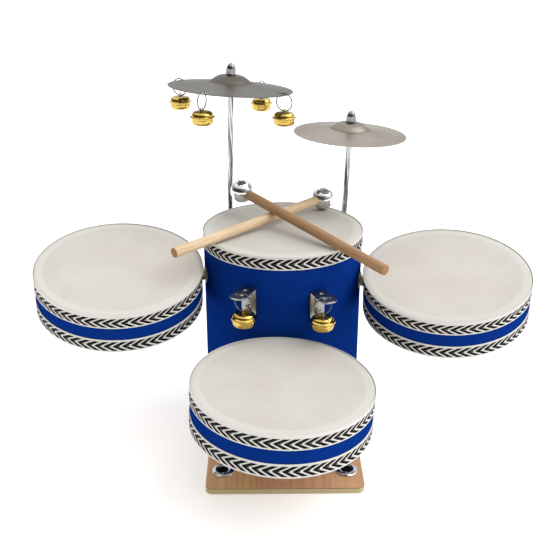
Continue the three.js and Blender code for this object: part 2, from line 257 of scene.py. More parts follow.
class Finish:
    def __init__(self, name, **constants):
        self.material = bpy.data.materials.new(name)
        self.material.use_nodes = True
        self.tree = self.material.node_tree
        self.shader = self.tree.nodes["Principled BSDF"]
        for socket, value in constants.items():
            self.shader.inputs[socket.replace("_", " ")].default_value = value
        self.place = self.node("ShaderNodeAttribute", {"attribute_name": "place"}, {}).outputs["Vector"]
        split = self.node("ShaderNodeSeparateXYZ", {}, {0: self.place})
        self.x, self.y, self.z = (Sum(self, split.outputs[i]) for i in range(3))
        self.radius = (self.x * self.x + self.y * self.y).root()
        self.angle = self.x.math("ARCTAN2", self.y, self.x)
        finishes[name] = self.material

    def node(self, kind, settings, sockets):
        made = self.tree.nodes.new(kind)
        for key, value in settings.items():
            setattr(made, key, value)
        for key, value in sockets.items():
            value = value.socket if isinstance(value, Sum) else value
            if isinstance(value, bpy.types.NodeSocket):
                self.tree.links.new(value, made.inputs[key])
            else:
                made.inputs[key].default_value = value
        return made

    def noise(self, stretch, scale, detail=3.0):
        """Noise over the piece's own place, stretched by a factor on each axis."""
        at = self.node("ShaderNodeMapping", {}, {"Vector": self.place, "Scale": stretch})
        return self.noise_at(at.outputs[0], scale, detail)

    def vector(self, x, y, z):
        return self.node("ShaderNodeCombineXYZ", {}, {0: x, 1: y, 2: z}).outputs[0]

    def noise_at(self, vector, scale, detail=3.0):
        made = self.node("ShaderNodeTexNoise", {}, {"Vector": vector, "Scale": scale, "Detail": detail})
        return Sum(self, made.outputs[0])

    def mix(self, share, first, second):
        return self.node("ShaderNodeMix", {"data_type": "RGBA"},
                         {0: share, 6: first, 7: second}).outputs[2]

    def colour(self, value): self.feed("Base Color", value)
    def rough(self, value): self.feed("Roughness", value)

    def feed(self, socket, value):
        value = value.socket if isinstance(value, Sum) else value
        self.tree.links.new(value, self.shader.inputs[socket])

    def relief(self, height, strength, distance):
        bump = self.node("ShaderNodeBump", {}, {"Height": height, "Strength": strength,
                                               "Distance": distance})
        self.feed("Normal", bump.outputs[0])


def rgb(*display):
    """A display colour from 0 to 255 as the linear colour that a shader takes."""
    linear = [((c / 255 + 0.055) / 1.055) ** 2.4 if c > 10 else c / 255 / 12.92 for c in display]
    return (*linear, 1)


EVEN = (1, 1, 1)


# %% [markdown]
# ## Drum finishes
# The head is hide, paler over the bearing edge and faintly clouded in the middle. The cover is a blue
# cloth with fine slanting ribs. The ribbon is woven: black arrowheads on white, each row of the weave
# a small step, with a dot in every notch. The arrowheads run whole times round the drum.

# %% Sizes that the finishes share with the shapes
HEAD_RADIUS = 80.0
HEIGHTS = {"tall": 202.2, "shallow": 40.0}
RIBBON_WIDTH = 13.5
RIBBON_TOP = 0.3
EYELET_BORE, EYELET_BARREL = 5.3, 7.2
BOARD_TOP = 6.5
CYMBALS = {"left": 65.0, "right": 59.0}
DOME_SHARE = 0.34
print("drum heights", HEIGHTS, "mm")

# %% Hide
hide = Finish("drum_skin", Roughness=0.6, Subsurface_Weight=0.05)
cloud = hide.noise(EVEN, 0.022, 4).ease(0.35, 0.72)
fibre = hide.noise(EVEN, 0.9, 5)
rim = hide.radius.ease(HEAD_RADIUS - 9.5, HEAD_RADIUS - 7)
tone = hide.mix(cloud * 0.5, rgb(194, 189, 181), rgb(182, 175, 164))
tone = hide.mix(rim * 0.55, tone, rgb(206, 202, 194))
tone = hide.mix(hide.noise(EVEN, 0.25, 6).ease(0.55, 0.75) * 0.25, tone, rgb(176, 166, 150))
hide.colour(tone)
hide.rough(0.52 + fibre * 0.2)
hide.relief(fibre, 0.25, 0.0002)

# %% Ribbed blue cover
RIB_PITCH, THREAD_PITCH = 1.9, 0.8
cover = Finish("blue_cover", Roughness=0.6, Specular_IOR_Level=0.0)
around = cover.angle * HEAD_RADIUS
rib = ((around * 0.75 + cover.z) * (tau / RIB_PITCH)).wave() * 0.5 + 0.5
thread = ((around * 0.75 - cover.z * 2.2) * (tau / THREAD_PITCH)).wave() * 0.5 + 0.5
dye = cover.noise(EVEN, 0.05, 3)
blue = cover.mix(rib * 0.7 + dye * 0.2, rgb(6, 34, 98), rgb(16, 62, 156))
cover.colour(blue)
cover.rough(0.48 + dye * 0.2)
cover.relief(rib + thread * 0.35, 0.6, 0.0003)

# %% Woven ribbon
REPEATS = 61  # arrowheads round a drum
ARM = 1.12  # how far an arrowhead's arms reach back, in arrowheads
WEFT = 0.62  # one row of the weave
WARPS = 88


def woven(name, black_foot, black_top, low):
    """Arrowheads between two heights. low is the ribbon's lower edge, all in millimetres."""
    band = Finish(name, Roughness=0.85, Specular_IOR_Level=0.15)
    height = band.z - low
    half = (black_top - black_foot) / 2
    row = ((height - black_foot) / WEFT).floor() * WEFT + WEFT / 2
    up = (row - half) / half
    along = band.angle * (REPEATS / tau)
    arm = abs(up) ** 0.92 * ARM
    phase = (along - arm).fraction()
    thick = (up > 0.0) * 0.06 + 0.64
    black = phase < thick
    fine = (height - black_foot - half) / half
    dot = ((phase - 0.76) ** 2.0 + fine * fine * 0.5) < 0.0065
    dash = (abs(fine) < 0.07) * (phase < 0.13)
    inside = (height > black_foot) * (height < black_top)
    ink = black.most(dot) * (1 - dash) * inside
    weave = ((band.angle * (tau * WARPS)).wave() * (band.z * (tau / WEFT)).wave()) * 0.5 + 0.5
    grime = band.noise(EVEN, 0.12, 4)
    white = band.mix(grime * 0.35, rgb(222, 220, 215), rgb(196, 192, 182))
    white = band.mix(weave * 0.18, white, rgb(190, 188, 182))
    dark = band.mix(weave * 0.3, rgb(7, 7, 8), rgb(18, 18, 20))
    band.colour(band.mix(ink, white, dark))
    band.rough(0.7 + weave * 0.15)
    band.relief(weave + ink * 0.4, 0.4, 0.00012)


for edge, foot, top in (("top", 1.3, 10.9), ("bottom", 1.5, 11.6)):
    for kind, height in HEIGHTS.items():
        low = RIBBON_TOP - RIBBON_WIDTH if edge == "top" else -height
        woven(f"ribbon_{edge}_{kind}", foot, top, low)
finishes["chevron_ribbon"] = finishes["ribbon_top_shallow"]  # stands in until refinish picks the edge

# %% Bent plywood of the shells
PLY = 1.25
ply = Finish("drum_shell", Roughness=0.7)
grain = ply.noise_at(ply.vector(ply.angle * 3.0, ply.z * 0.9, ply.radius * 1.2), 1.6, 5)
layer = (ply.radius * (tau / PLY)).wave() * 0.5 + 0.5
ply.colour(ply.mix(grain * 0.6 + layer * 0.25, rgb(214, 184, 140), rgb(168, 128, 86)))
ply.rough(0.6 + grain * 0.2)
ply.relief(grain, 0.2, 0.0002)
print(len(finishes), "finishes so far")

# %% [markdown]
# ## Metal finishes
# Bright metals differ mostly in roughness and in the marks on them. Chrome gets faint wiping marks,
# zinc a fine drawn grain, the cymbals close turning grooves that pull the light into a spoke, and
# the bells darken where polish does not reach. Some tones are painted light: painted reflections in
# bands on the stand rods, and painted shade in the eyelet bores, on the cymbals' domes and over the
# whole left cymbal.

# %% Metals
chrome = Finish("polished_chrome", Metallic=1.0, Roughness=0.07)
smear = chrome.noise(EVEN, 0.35, 4)
chrome.colour(chrome.mix(smear, rgb(226, 227, 229), rgb(206, 207, 210)))
chrome.rough(0.04 + smear.ease(0.45, 0.8) * 0.09)

bush = Finish("eyelet_metal", Metallic=1.0, Roughness=0.15)
# Painted shade: the bore's wall and the inner edge of its lip are painted near-black and rough, where the hole
# lies in shadow.
inside = (bush.radius < EYELET_BORE + 0.4) * (bush.z < 1.3)
scuff = bush.noise(EVEN, 0.6, 4)
bush.colour(bush.mix(inside, bush.mix(scuff, rgb(216, 217, 219), rgb(176, 177, 180)), rgb(34, 32, 30)))
bush.rough(0.08 + scuff * 0.12 + inside * 0.5)

rod_steel = Finish("rod_painted_reflection", Metallic=1.0, Roughness=0.2)
# Painted reflection: twisted bands from dark to light grey in the rod's colour stand in for the reflections
# running round it.
twist = rod_steel.angle + rod_steel.z * 0.045
helix = rod_steel.vector(twist.wave() * 1.5, (twist + pi / 2).wave() * 1.5, rod_steel.z * 0.01)
painted_reflection_band = rod_steel.noise_at(helix, 1.3, 3)
rod_steel.colour(rod_steel.mix(painted_reflection_band.ease(0.38, 0.62), rgb(92, 94, 98), rgb(226, 227, 229)))
rod_steel.rough(0.12 + painted_reflection_band * 0.16)

cap = Finish("cap_nut", Metallic=1.0, Roughness=0.14)
wear = cap.noise(EVEN, 0.7, 4)
cap.colour(cap.mix(wear, rgb(150, 151, 153), rgb(112, 112, 114)))
cap.rough(0.1 + wear * 0.12)

zinc = Finish("zinc_steel", Metallic=1.0, Roughness=0.3)
drawn = zinc.noise((1, 0.12, 1), 3.0, 4)
spot = zinc.noise(EVEN, 0.3, 4)
zinc.colour(zinc.mix(spot, rgb(168, 168, 166), rgb(124, 124, 120)))
zinc.rough(0.2 + drawn * 0.18)
zinc.relief(drawn, 0.12, 0.0001)

GROOVE = 0.8


def spun_metal(name, dome, bright, dull, stain):
    """A cymbal's finish. dome is the radius at which its dome meets its bow."""
    dish = Finish(name, Metallic=1.0, Roughness=0.34, Anisotropic=0.5)
    lathe = (dish.radius * (tau / GROOVE)).wave() * 0.5 + 0.5
    rings = dish.noise_at(dish.vector(dish.radius * 1.0, 0.0, 0.0), 0.9, 5)
    patch = dish.noise(EVEN, 0.05, 4)
    tone = dish.mix(rings * 0.6, bright, dull)
    tone = dish.mix(patch.ease(0.4, 0.75) * 0.4, tone, stain)
    # Painted shade: the dome is darkened, and more so in a narrow band where it meets the bow.
    painted_crease_shade = 1 - abs(dish.radius - dome).ease(0.2, 2.4)
    cup = 1 - dish.radius.ease(dome - 1.0, dome)
    dish.colour(dish.mix((cup * 0.35).most(painted_crease_shade * 0.55), tone, rgb(70, 64, 56)))
    dish.rough(0.27 + rings * 0.16)
    dish.relief(lathe * 0.5 + rings, 0.3, 0.00012)


spun_metal("cymbal_metal", DOME_SHARE * CYMBALS["right"],
           rgb(166, 158, 147), rgb(130, 121, 110), rgb(138, 124, 106))
# Painted shade: the left cymbal gets a darker copy of the same metal.
spun_metal("cymbal_painted_shade", DOME_SHARE * CYMBALS["left"],
           rgb(110, 106, 99), rgb(82, 77, 70), rgb(90, 82, 70))

CRIMP = -6.8  # the crease under a bell's flange
gold = Finish("bell_brass", Metallic=1.0, Roughness=0.13)
tarnish = gold.noise(EVEN, 0.25, 5).ease(0.5, 0.8)
groove = (abs(gold.z - CRIMP) < 0.4) * 0.7
gold.colour(gold.mix(tarnish * 0.5, rgb(200, 170, 88), rgb(120, 92, 42)))
gold.rough(0.08 + tarnish * 0.22 + groove * 0.2)
gold.relief(gold.noise(EVEN, 0.5, 3), 0.08, 0.0002)

plated = Finish("yellow_zinc", Metallic=1.0, Roughness=0.3)
sheen = plated.noise(EVEN, 0.22, 3)
plated.colour(plated.mix(sheen.ease(0.35, 0.7), rgb(190, 164, 104), rgb(150, 150, 118)))
plated.rough(0.22 + sheen * 0.2)

wire = Finish("ring_wire", Metallic=1.0, Roughness=0.2)
score = wire.noise(EVEN, 1.4, 4)
wire.colour(wire.mix(score, rgb(120, 120, 122), rgb(70, 70, 72)))
wire.rough(0.12 + score * 0.2)
print(len(finishes), "finishes so far")

# %% [markdown]
# ## Board, mallet wood and felt
# The board is fibreboard faced with planked veneer: tan and redder strips with the grain running
# front to back, and a yellowish edge under a dark line. A dowel shows long streaks along it and
# rings on its cut end. Felt is matted fibre with no shine.

# %% Board veneer
PLANKS = (-27.0, 37.0)
board = Finish("board_veneer", Roughness=0.42)
streak = board.noise((1, 0.07, 1), 0.55, 6)
pore = board.noise((1, 0.05, 1), 2.6, 3)
second = board.x > PLANKS[0]
third = board.x > PLANKS[1]
base = board.mix(second, rgb(222, 178, 122), rgb(214, 164, 126))
base = board.mix(third * 0.5, base, rgb(204, 158, 116))
base = board.mix(streak.ease(0.35, 0.75) * 0.55, base, rgb(182, 134, 92))
base = board.mix((pore > 0.62) * 0.22, base, rgb(140, 98, 62))
joint_line = (abs(board.x - PLANKS[0]) < 0.25).most(abs(board.x - PLANKS[1]) < 0.2)
base = board.mix(joint_line * 0.45, base, rgb(104, 68, 40))
chip = board.noise(EVEN, 1.1, 5)
core = board.mix(chip, rgb(206, 190, 146), rgb(176, 158, 112))
line = board.z.ease(BOARD_TOP - 1.0, BOARD_TOP - 0.75)
edge_tone = board.mix(line, core, rgb(92, 70, 42))
board.colour(board.mix(board.z > BOARD_TOP - 0.3, edge_tone, base))
board.rough(0.38 + streak * 0.12)
board.relief(pore + chip * 0.3, 0.12, 0.0001)

# %% Dowel and felt
BUTT = 197.7


def dowel_wood(name, pale, deep, vein):
    wood = Finish(name, Roughness=0.55, Specular_IOR_Level=0.25)
    long_grain = wood.noise((1, 1, 0.05), 0.9, 6)
    ray = wood.noise((1, 1, 0.12), 3.2, 3)
    side = wood.mix(long_grain.ease(0.3, 0.72), pale, deep)
    side = wood.mix((ray > 0.6) * 0.3, side, vein)
    year = ((((wood.x + 3.5) ** 2.0 + wood.y * wood.y).root()) * (tau / 1.1)).wave() * 0.5 + 0.5
    wood.colour(wood.mix(wood.z > BUTT, side, wood.mix(year, rgb(176, 136, 98), rgb(142, 104, 72))))
    wood.rough(0.48 + ray * 0.15)
    wood.relief(ray, 0.15, 0.0001)


dowel_wood("mallet_wood", rgb(222, 200, 168), rgb(200, 172, 136), rgb(184, 150, 112))
# Painted shade: the upper stick gets a darker copy of the same wood, for its side turned from the light.
dowel_wood("dowel_painted_shade", rgb(170, 136, 100), rgb(146, 110, 76), rgb(124, 90, 60))

felt = Finish("grey_felt", Roughness=0.95, Sheen_Weight=0.3)
matted = felt.noise(EVEN, 1.7, 7)
felt.colour(felt.mix(matted, rgb(40, 40, 42), rgb(104, 104, 106)))
felt.relief(matted, 0.8, 0.0006)
print(len(finishes), "finishes in all")

# %% [markdown]
# ## The board and its eyelets
# A board is a box whose upright corners are rounded, with its long edges just eased and two holes
# bored through. Each eyelet is a spun metal bush: a barrel in the hole under a rolled lip.

# %% Board
low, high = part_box("base_board")
size = (high - low) * 1000
slab = bmesh.new()
bmesh.ops.create_cube(slab, size=1, matrix=Matrix.Diagonal((size.x, size.y, size.z, 1)))
upright = [e for e in slab.edges if abs((e.verts[0].co - e.verts[1].co).z) > 1]
bmesh.ops.bevel(slab, geom=upright, offset=7, segments=10, profile=0.5, affect="EDGES", material=-1)
soften(slab, 0.35, 2, radians(60))
bmesh.ops.translate(slab, verts=slab.verts, vec=((low + high) / 2) * 1000)
slab = to_object(slab, "board")
eyelets = {side: middle(f"eyelet_{side}") * 1000 for side in ("left", "right")}
boolean(slab, [rod_tool(at.x, at.y, EYELET_BARREL + 0.2, -2, 10) for at in eyelets.values()])
place(slab, Matrix.Scale(0.001, 4), "board_veneer", "kit_frame", "base_board")
print("board", [round(s, 1) for s in size], "mm")

# %% Eyelets
lip = [(EYELET_BORE, 0.9), (5.5, 1.5), (6.1, 2.0), (7.0, 2.2), (8.0, 2.1), (9.0, 1.75), (10.0, 1.2),
       (10.6, 0.75), (10.75, 0.45), (10.6, 0.3),
       (EYELET_BARREL, 0.3), (EYELET_BARREL, -6.1), (EYELET_BORE, -6.1)]
for side, at in eyelets.items():
    where = basis(Vector((at.x, at.y, BOARD_TOP)) / 1000, (1, 0, 0), UP)
    refinish(stand_for(f"eyelet_{side}", turned(lip, 64), where), "eyelet_metal")

# %% [markdown]
# ## Drums
# Every drum is the same: a plywood ring, a cloth glued round it, a hide pulled over the top edge,
# and a ribbon at each edge. The hide turns over a rounded shoulder and runs down behind the upper
# ribbon. The ribbon's selvedges stand a little proud of its middle. A hung drum's frame takes X from
# its bolt and Z from the flat of its head.

# %% Drum frames
STEPS = 144
drum_frames = {"centre": basis((0, 0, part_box("centre_skin")[1].z), (1, 0, 0), UP)}
for side in ("left", "right", "front"):
    points = corners(f"{side}_skin")
    normal = spread_axis(f"{side}_skin", longest=False)
    top = Vector(points.mean(0))
    top += normal * (reach(f"{side}_skin", top, normal)[1] / 1000)
    drum_frames[side] = basis(top, joints[f"{side}_drum_turn"]["axis"], normal)
    print(side, "head tilts", round(degrees(normal.angle(UP)), 1), "degrees")

# %% Shells, covers, hides and ribbons
SHELL_RADIUS, WALL = 79.2, 5.0
COVER_TOP = -1.1
LIP_DEPTH = 7.5  # how far the hide runs down over the edge
BOLT_DROP = 20.0  # a hung drum's bolt below its head
BOLT_HOLE = 3.4


def bolt_holes(name):
    """Places on a drum's wall where bolts pass, as azimuth and drop from the head."""
    if name != "centre":
        return [(pi, BOLT_DROP)]
    holes = []
    for side in ("left", "right", "front"):
        joint = joints[f"{side}_drum_turn"]
        drop = (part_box("centre_skin")[1].z - joint["pos_m"][2]) * 1000
        holes.append((atan2(joint["axis"][1], joint["axis"][0]), drop))
    return holes


def side_tool(azimuth, drop):
    bm = rod_tool(0, 0, BOLT_HOLE, 60, 90)
    bmesh.ops.rotate(bm, verts=bm.verts, cent=(0, 0, 0), matrix=Matrix.Rotation(pi / 2, 3, "Y"))
    bmesh.ops.translate(bm, verts=bm.verts, vec=(0, 0, -drop))
    bmesh.ops.rotate(bm, verts=bm.verts, cent=(0, 0, 0), matrix=Matrix.Rotation(azimuth, 3, "Z"))
    return bm


for name, where in drum_frames.items():
    kind = "tall" if name == "centre" else "shallow"
    height = HEIGHTS[kind]
    inner = SHELL_RADIUS - WALL
    holes = bolt_holes(name)
    shell = turned([(inner, -height), (SHELL_RADIUS, -height), (SHELL_RADIUS, COVER_TOP),
                    (inner, COVER_TOP)], STEPS, 0.3)
    shell = boolean(to_object(shell, f"{name}_shell_shape"), [side_tool(*h) for h in holes])
    stand_for(f"{name}_shell", shell, where)
    cloth = turned([(HEAD_RADIUS - 0.5, -height), (HEAD_RADIUS, -height), (HEAD_RADIUS, COVER_TOP),
                    (HEAD_RADIUS - 0.5, COVER_TOP)], STEPS, 0.1)
    cloth = boolean(to_object(cloth, f"{name}_cover_shape"), [side_tool(*h) for h in holes])
    stand_for(f"{name}_cover", cloth, where)
    head = [(0, 0), (30, 0), (60, 0), (72, 0), (76, 0.02), (78.2, -0.05), (79.2, -0.3), (79.9, -0.8),
            (80.2, -1.5), (80.24, -2.5), (80.24, -LIP_DEPTH), (80.04, -LIP_DEPTH), (80.04, -2.5),
            (79.4, -1.0), (78.4, -0.8), (0, -0.8)]
    stand_for(f"{name}_skin", turned(head, STEPS), where)
    for edge, top in (("top", RIBBON_TOP), ("bottom", RIBBON_WIDTH - height)):
        foot = top - RIBBON_WIDTH
        band = [(80.3, foot), (80.75, foot), (80.95, foot + 0.25), (80.95, foot + 0.9),
                (80.8, foot + 1.3), (80.8, top - 1.3), (80.95, top - 0.9), (80.95, top - 0.25),
                (80.75, top), (80.3, top)]
        ribbon = stand_for(f"{name}_ribbon_{edge}", turned(band, STEPS), where)
        refinish(ribbon, f"ribbon_{edge}_{kind}")
print("drums:", len(drum_frames))

# %% [markdown]
# ## Bolts that carry the hung drums
# A bolt runs from inside the hung drum, through its wall, a nut and a wide washer, into the tall
# drum. A nut is a hexagon with its corners turned off by a cone, so the bevel is cut only at the
# points. The lock nut inside the tall drum is hidden and is a guess.

# %% Nuts and bolts
HEX = 10 / sqrt(3)  # a nut's radius over its points, 10 across its flats
BOLT = 3.0
HEAD_THICK = 4.0


def nut(name, thick, bore, low=0.0):
    """A hexagon nut with chamfered points and a bore, foot at low. No bore makes a bolt's head."""
    bm = prism(6, HEX, thick)
    bmesh.ops.translate(bm, verts=bm.verts, vec=(0, 0, low))
    piece = to_object(bm, name)
    trim = turned([(0, low - 0.1), (HEX - 0.9, low - 0.1), (HEX + 0.1, low + 0.7),
                   (HEX + 0.1, low + thick - 0.7), (HEX - 0.9, low + thick + 0.1),
                   (0, low + thick + 0.1)], 48)
    boolean(piece, [trim], "INTERSECT")
    if bore:
        boolean(piece, [rod_tool(0, 0, bore, low - 2, low + thick + 2)])
    return piece


for side in ("left", "right", "front"):
    joint = joints[f"{side}_drum_turn"]
    axis = Vector(joint["axis"])
    start = Vector((0, 0, joint["pos_m"][2]))
    where = basis(start, UP, axis)
    near, far = reach(f"{side}_pivot_washer", start, axis)
    washer = turned([(3.3, near), (8.5, near), (8.5, far), (3.3, far)], 64, 0.25)
    stand_for(f"{side}_pivot_washer", washer, where)
    near, far = reach(f"{side}_pivot_spacer_nut", start, axis)
    spacer = nut(f"{side}_spacer_nut_shape", far - near, 3.3, near)
    stand_for(f"{side}_pivot_spacer_nut", spacer, where)
    near, far = reach(f"{side}_pivot_bolt", start, axis)
    bolt = nut(f"{side}_bolt_shape", HEAD_THICK, 0, far - HEAD_THICK)
    shank = turned([(0, near), (BOLT - 0.6, near), (BOLT, near + 0.6), (BOLT, far - 3.5),
                    (0, far - 3.5)], 32)
    stand_for(f"{side}_pivot_bolt", boolean(bolt, [shank], "UNION"), where)
    lock = nut(f"{side}_lock_nut", 5.0, 3.05, near + 2.3)
    place(lock, where, "zinc_steel", "kit_frame")
print("bolts: 3")

# %% [markdown]
# ## Angle brackets
# A bracket is a strip with round-ended corners, folded once. Here one flat sheet of two faces is
# bevelled along the fold, its corners are rounded, and then it is given its thickness, so the fold
# keeps the same metal all through. Screws hold its upright leg to the drum.

# %% Brackets


LEG_OUT, LEG_DOWN, STRIP_WIDTH, STRIP_THICK = 30, 31, 15, 1.6
SLOT_HALF_WIDTH, SLOT_END = 2.1, 2.4
SCREW_DROPS = (9.5, 21.5)


def bracket(name, holes, slot_at=None):
    """An angle bracket. holes are (distance out, radius) pairs in its upper leg."""
    sheet = bmesh.new()
    side = -STRIP_WIDTH / 2
    path = [sheet.verts.new(p) for p in ((LEG_OUT, side, 0), (0, side, 0), (0, side, -LEG_DOWN))]
    strip = [sheet.edges.new(pair) for pair in zip(path, path[1:])]
    moved = bmesh.ops.extrude_edge_only(sheet, edges=strip)["geom"]
    bmesh.ops.translate(sheet, verts=[v for v in moved if isinstance(v, bmesh.types.BMVert)],
                        vec=(0, STRIP_WIDTH, 0))
    for ends, radius in ((lambda v: v.co.x > LEG_OUT - 1, 4.5), (lambda v: v.co.z < 1 - LEG_DOWN, 3.0)):
        bmesh.ops.bevel(sheet, geom=[v for v in sheet.verts if ends(v)], offset=radius, segments=6,
                        profile=0.5, affect="VERTICES", material=-1)
    fold = [e for e in sheet.edges
            if all(abs(v.co.x) < 0.01 and abs(v.co.z) < 0.01 for v in e.verts)]
    bmesh.ops.bevel(sheet, geom=fold, offset=2.4, segments=6, profile=0.5, affect="EDGES", material=-1)
    bmesh.ops.recalc_face_normals(sheet, faces=sheet.faces)
    flat = max(sheet.faces, key=lambda f: abs(f.normal.z) * f.calc_area())
    if flat.normal.z < 0:
        bmesh.ops.reverse_faces(sheet, faces=sheet.faces)
    bmesh.ops.solidify(sheet, geom=sheet.faces, thickness=STRIP_THICK)
    bmesh.ops.recalc_face_normals(sheet, faces=sheet.faces)
    if min(v.co.x for v in sheet.verts) < -0.1:  # the metal went behind the sheet, into the drum
        bmesh.ops.translate(sheet, verts=sheet.verts, vec=(STRIP_THICK, 0, -STRIP_THICK))
    soften(sheet, 0.15, 1, radians(60))
    piece = to_object(sheet, name)
    tools = [rod_tool(x, 0, r, -4, 3) for x, r in holes]
    if slot_at is not None:
        tools += [rod_tool(slot_at, y, SLOT_HALF_WIDTH, -4, 3) for y in (-SLOT_END, SLOT_END)]
        bar = bmesh.new()
        bmesh.ops.create_cube(bar, size=1, matrix=Matrix.Translation((slot_at, 0, -0.5))
                              @ Matrix.Diagonal((2 * SLOT_HALF_WIDTH, 2 * SLOT_END, 7, 1)))
        tools.append(bar)
    return boolean(piece, tools)


def screw(name):
    """A pan head with a cross recess, its face towards +Z."""
    bm = turned([(0, 1.9), (1.6, 1.85), (2.9, 1.35), (3.5, 0.5), (3.5, 0.0), (1.8, -0.4), (0, -0.4)], 40)
    piece = to_object(bm, name)
    bars = []
    for angle in (0.4, 0.4 + pi / 2):
        bar = bmesh.new()
        bmesh.ops.create_cube(bar, size=1, matrix=Matrix.Rotation(angle, 4, "Z")
                              @ Matrix.Translation((0, 0, 1.8)) @ Matrix.Diagonal((3.6, 0.75, 1.8, 1)))
        bars.append(bar)
    return boolean(piece, bars)


bracket_frames = {}
for side in ("left", "right"):
    chord = Vector(joints[f"bracket_jingle_{side}_ring_swing"]["axis"])
    out = chord.cross(UP)
    if out.dot(middle(f"bell_bracket_{side}").xy.to_3d()) < 0:
        out = -out
    bracket_frames[f"bell_bracket_{side}"] = (out, [(9.5, 2.2)], 21.0)
    rod_axis = spread_axis(f"{side}_stand_rod", longest=True)
    rod_mid = Vector(corners(f"{side}_stand_rod").mean(0))
    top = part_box(f"stand_bracket_{side}")[1].z
    foot = rod_mid + rod_axis * ((top - rod_mid.z) / rod_axis.z)
    bracket_frames[f"stand_bracket_{side}"] = (foot.xy.to_3d().normalized(), [(17.0, 3.4)], None)
for node, (out, holes, slot_at) in bracket_frames.items():
    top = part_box(node)[1].z
    where = basis(out * 0.0803 + UP * top, out, UP)
    stand_for(node, bracket(node + "_shape", holes, slot_at), where)
    for number, drop in enumerate(SCREW_DROPS):
        seat = where @ Matrix.Translation((1.7, 0, -drop)) @ Matrix.Rotation(pi / 2, 4, "Y")
        place(screw(f"{node}_screw_{number}"), seat, "zinc_steel", "kit_frame")
print("brackets:", list(bracket_frames))

# %% [markdown]
# ## Jingle bells
# A bell is two pressed cups crimped together at a flange, with a wire eye on top, a sounding slit
# below and a loose pellet inside. The outside is spun, given its thin wall, and slit. The underside
# is out of sight, so the slit is a guess.

# %% Bells and rings
EYE_RADIUS, EYE_WIRE, EYE_RISE = 1.95, 0.55, 1.0
EYE_TOP = 3.55  # the eye's top above a bell's crown
RING_RADIUS, RING_WIRE = 8.85, 0.62
PELLET = 2.6
upper_cup = [(0, 0), (5.1, -0.05), (7.6, -0.3), (9.1, -0.95), (10.0, -2.0), (10.5, -3.3), (10.7, -4.6)]
flange = [(11.1, -5.0), (12.0, -5.12), (12.3, -5.3), (12.3, -5.75), (12.0, -5.95), (11.1, -6.1)]
lower_cup = [(10.6, -6.4), (10.45, -7.0), (10.7, -7.9), (10.7, -10.0), (10.4, -11.5), (9.6, -12.6),
             (8.2, -13.4), (5.2, -13.75), (0, -13.8)]


def bell(name):
    cup = turned(upper_cup + flange + lower_cup, 64)
    bmesh.ops.solidify(cup, geom=cup.faces, thickness=0.45)
    piece = to_object(cup, name)
    bar = bmesh.new()
    bmesh.ops.create_cube(bar, size=1, matrix=Matrix.Translation((0, 0, -13.3))
                          @ Matrix.Diagonal((12, 1.3, 5, 1)))
    boolean(piece, [bar, rod_tool(-6, 0, 1.5, -16, -10.5), rod_tool(6, 0, 1.5, -16, -10.5)])
    eye = hoop(EYE_RADIUS, EYE_WIRE, 28, 10)
    bmesh.ops.rotate(eye, verts=eye.verts, cent=(0, 0, 0), matrix=Matrix.Rotation(pi / 2, 3, "Z"))
    bmesh.ops.translate(eye, verts=eye.verts, vec=(0, 0, EYE_RISE))
    return boolean(piece, [eye], "UNION")


jingles = [f"cymbal_jingle_{i}" for i in (1, 2, 3, 4)]
jingles += [f"bracket_jingle_{side}" for side in ("left", "right")]
for name in jingles:
    chord = joints[f"{name}_bell_swing"]["axis"]
    centre = middle(f"{name}_ring")
    ring = hoop(RING_RADIUS, RING_WIRE, 72, 12, gap=radians(2.5))
    stand_for(f"{name}_ring", ring, basis(centre, chord, UP))
    hung = Vector((centre.x, centre.y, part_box(f"{name}_bell")[1].z - EYE_TOP / 1000))
    where = basis(hung, chord, UP)
    stand_for(f"{name}_bell", bell(f"{name}_bell_shape"), where)
    pellet = bmesh.new()
    bmesh.ops.create_icosphere(pellet, subdivisions=3, radius=PELLET,
                               matrix=Matrix.Translation((2.5, 0, -10.4)))
    place(to_object(pellet, f"{name}_pellet"), where, "zinc_steel", body_of[f"{name}_bell"])
print("jingles:", len(jingles))

# %% [markdown]
# ## Cymbals and stands
# A cymbal is a thin spun dish with a dome, loose on a rod between felt and a cap nut. Its section is
# drawn from the bore to the rim and back underneath. The holes near the left one's rim lie where the
# rings pass, so they are found from the rings.

# %% Stands
CROWN = 8.0
PLATE = 0.8
RIM_HOLE, RIM_HOLE_INSET = 2.9, 6.15


def dish_height(radius, size):
    """How high a cymbal's top lies over its rim, at a radius."""
    dome, foot = DOME_SHARE * size, 0.086 * size
    if radius > dome:
        out = (radius - dome) / (size - dome)
        return foot * (1 - out) * (1 - 0.25 * out)
    past = max(0.0, radius - CROWN) / (dome - CROWN)
    return foot + (0.2 * size - foot) * cos(pi / 2 * past)


